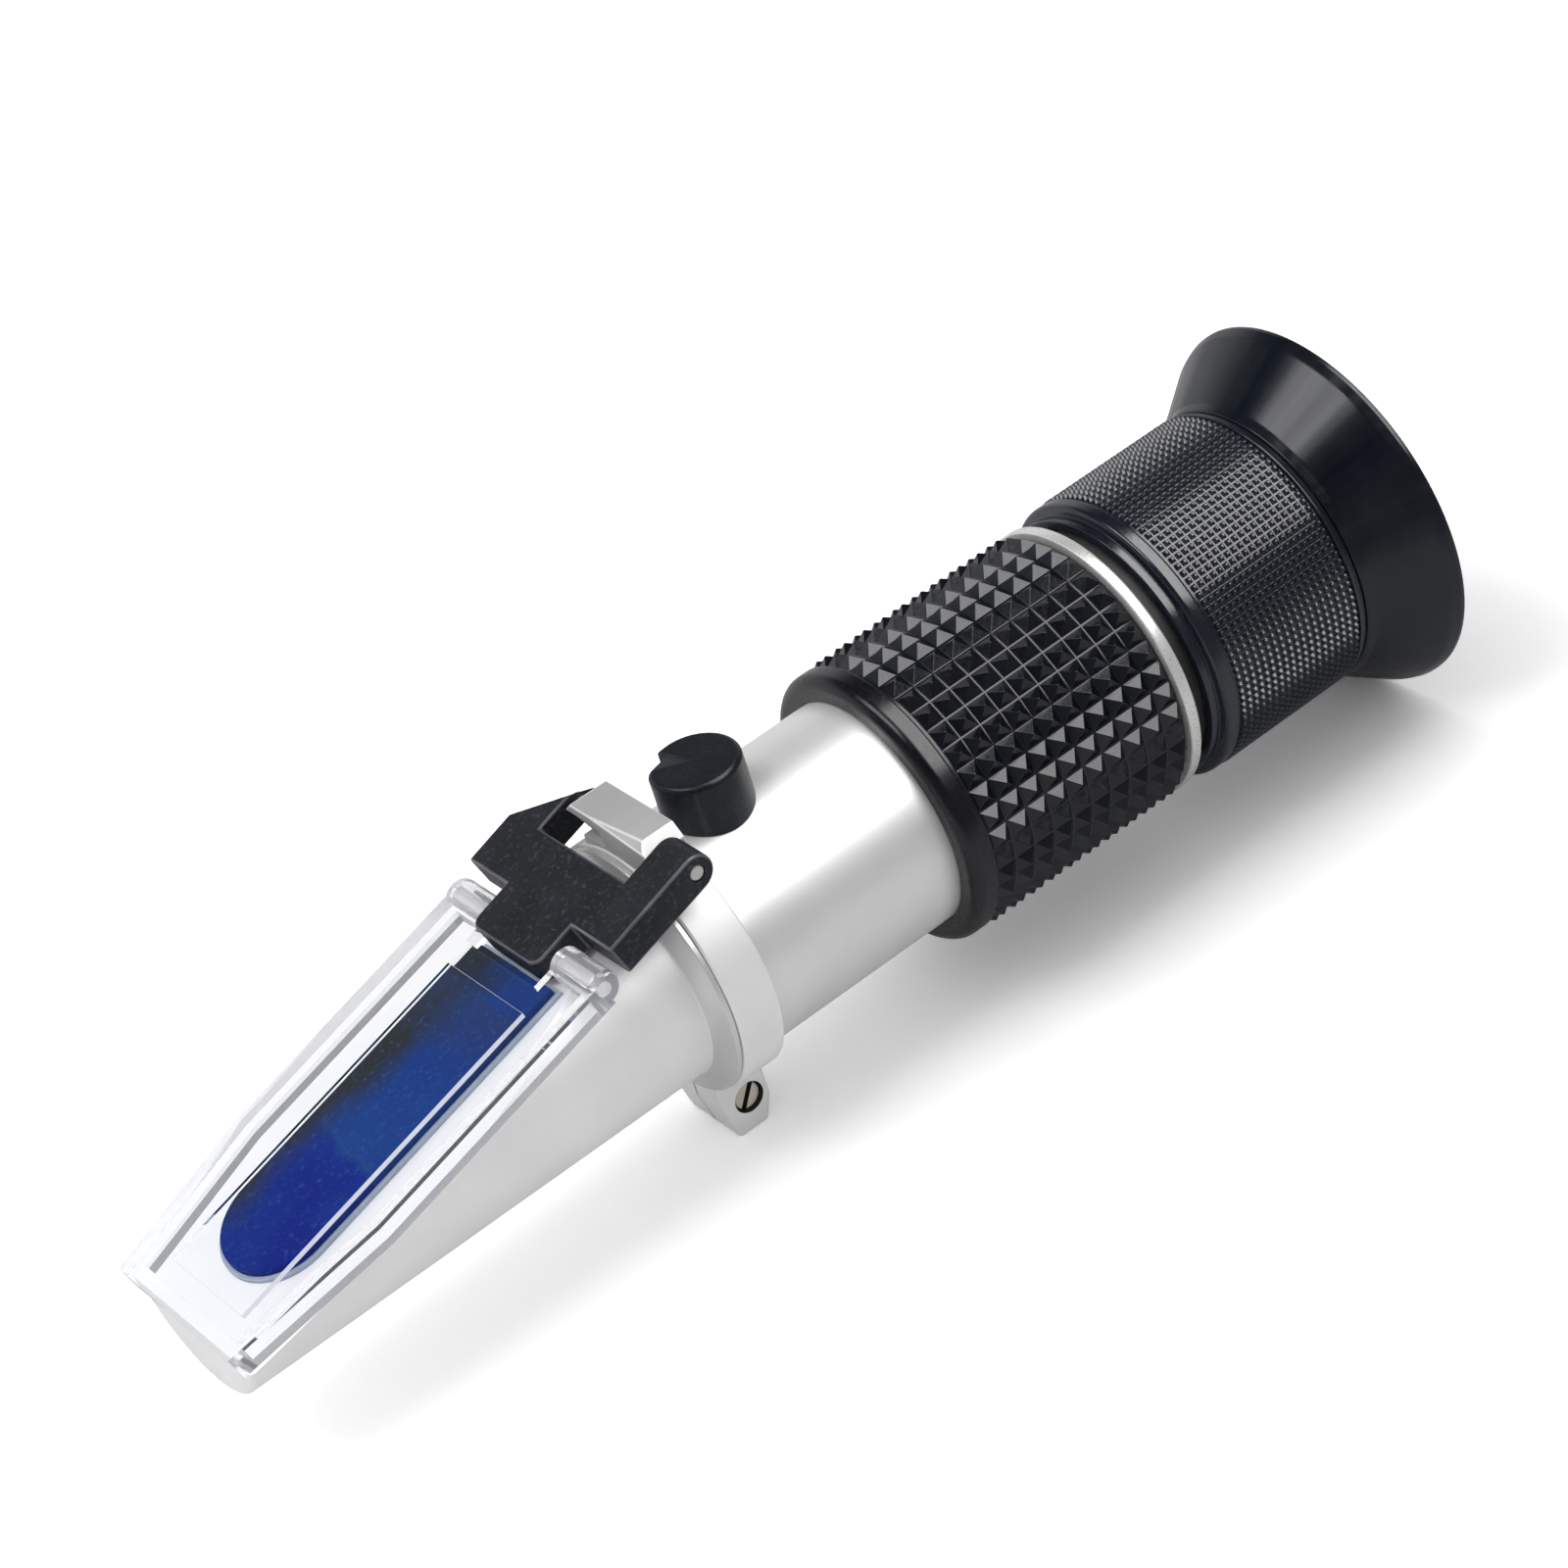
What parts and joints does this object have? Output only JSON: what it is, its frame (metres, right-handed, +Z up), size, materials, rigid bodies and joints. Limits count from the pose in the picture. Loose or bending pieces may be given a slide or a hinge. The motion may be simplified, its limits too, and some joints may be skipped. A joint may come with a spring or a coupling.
{
  "type": "handheld refractometer",
  "caption": "Handheld refractometer: prism head with a hinged clear daylight plate, clamp collar, capped calibration screw, ribbed grip, turning focus ring and flared eyecup.",
  "frame": {"origin": "on the table plane, under the middle of the instrument's bounding box", "axes": "+X along the optical axis towards the eyecup, +Z up through the hinge and the calibration cap, +Y to complete a right-handed frame"},
  "size_m": [0.141, 0.04, 0.04],
  "materials": {
    "cast_alloy": "bead-blasted, light satin",
    "satin_alloy": "fine satin anodised",
    "machined_alloy": "machined, satin",
    "steel": "machined",
    "brass": "plain",
    "prism_glass": "polished, dark blue behind",
    "lens_glass": "polished, coated",
    "clear_acrylic": "clear, polished",
    "seal": "soft pale grey",
    "seal_black": "soft",
    "black_plastic": "fine moulded grain",
    "inner_black": "matt black, against stray light",
    "cap_rubber": "soft satin",
    "grip_rubber": "firm, satin, moulded pyramids",
    "focus_plastic": "satin, fine moulded knurl",
    "eyecup_rubber": "soft, semi-gloss",
    "trim_white": "bright, lacquered"
  },
  "bodies": {
    "barrel_body": {"prism_box": "cast_alloy", "prism": "prism_glass", "prism_seal": "seal", "joint_o_ring": "seal_black", "clamp_collar": "cast_alloy", "clamp_screw": "steel", "hinge_block": "machined_alloy", "hinge_block_screw": "steel", "hinge_pin": "steel", "barrel": "satin_alloy", "calibration_bush": "brass", "strip_mount": "machined_alloy", "strip_screws": "steel", "light_baffle": "inner_black", "grip_sleeve": "grip_rubber", "trim_ring": "trim_white", "focus_sleeve": "inner_black", "reticle_holder": "inner_black", "reticle": "lens_glass"},
    "hinge_arm": {"hinge_arm": "black_plastic", "plate_pin": "steel"},
    "daylight_plate": {"daylight_plate": "clear_acrylic"},
    "calibration_cap": {"calibration_cap": "cap_rubber"},
    "calibration_screw": {"calibration_screw": "steel"},
    "objective": {"objective_cell": "inner_black", "objective_lens": "lens_glass", "objective_ring": "inner_black", "bimetal_strip": "brass", "strip_rivets": "steel"},
    "lens_tube": {"lens_tube": "inner_black", "field_lens": "lens_glass", "lens_spacer": "inner_black", "eye_lens": "lens_glass", "eye_lens_ring": "inner_black"},
    "focus_ring": {"focus_ring": "focus_plastic", "eyecup": "eyecup_rubber"}
  },
  "joints": [
    {"name": "arm_hinge", "type": "hinge", "parent": "barrel_body", "child": "hinge_arm", "pos_m": [-0.0132, 0, 0.0352], "axis": [0, 1, 0], "range_deg": [0, 115]},
    {"name": "plate_rock", "type": "hinge", "parent": "hinge_arm", "child": "daylight_plate", "pos_m": [-0.02575, 0, 0.03062], "axis": [0, 1, 0], "range_deg": [0, 10]},
    {"name": "cap_pull", "type": "slide", "parent": "barrel_body", "child": "calibration_cap", "axis": [0, 0, 1], "range_m": [0, 0.008]},
    {"name": "calibration_turn", "type": "hinge", "parent": "barrel_body", "child": "calibration_screw", "pos_m": [-0.0044, 0, 0.032], "axis": [0, 0, 1], "range_deg": [-180, 180]},
    {"name": "objective_shift", "type": "slide", "parent": "barrel_body", "child": "objective", "axis": [0, 0, 1], "range_m": [-0.00025, 0.00025]},
    {"name": "focus_travel", "type": "slide", "parent": "barrel_body", "child": "lens_tube", "axis": [1, 0, 0], "range_m": [-0.0015, 0.003]},
    {"name": "focus_turn", "type": "hinge", "parent": "lens_tube", "child": "focus_ring", "pos_m": [0.05, 0, 0.02], "axis": [1, 0, 0], "range_deg": [-90, 180]}
  ],
  "couplings": [
    {"joint": "focus_travel", "follows": "focus_turn", "m_per_rad": 0.00095493},
    {"joint": "calibration_turn", "follows": "objective_shift", "rad_per_m": 12566}
  ]
}
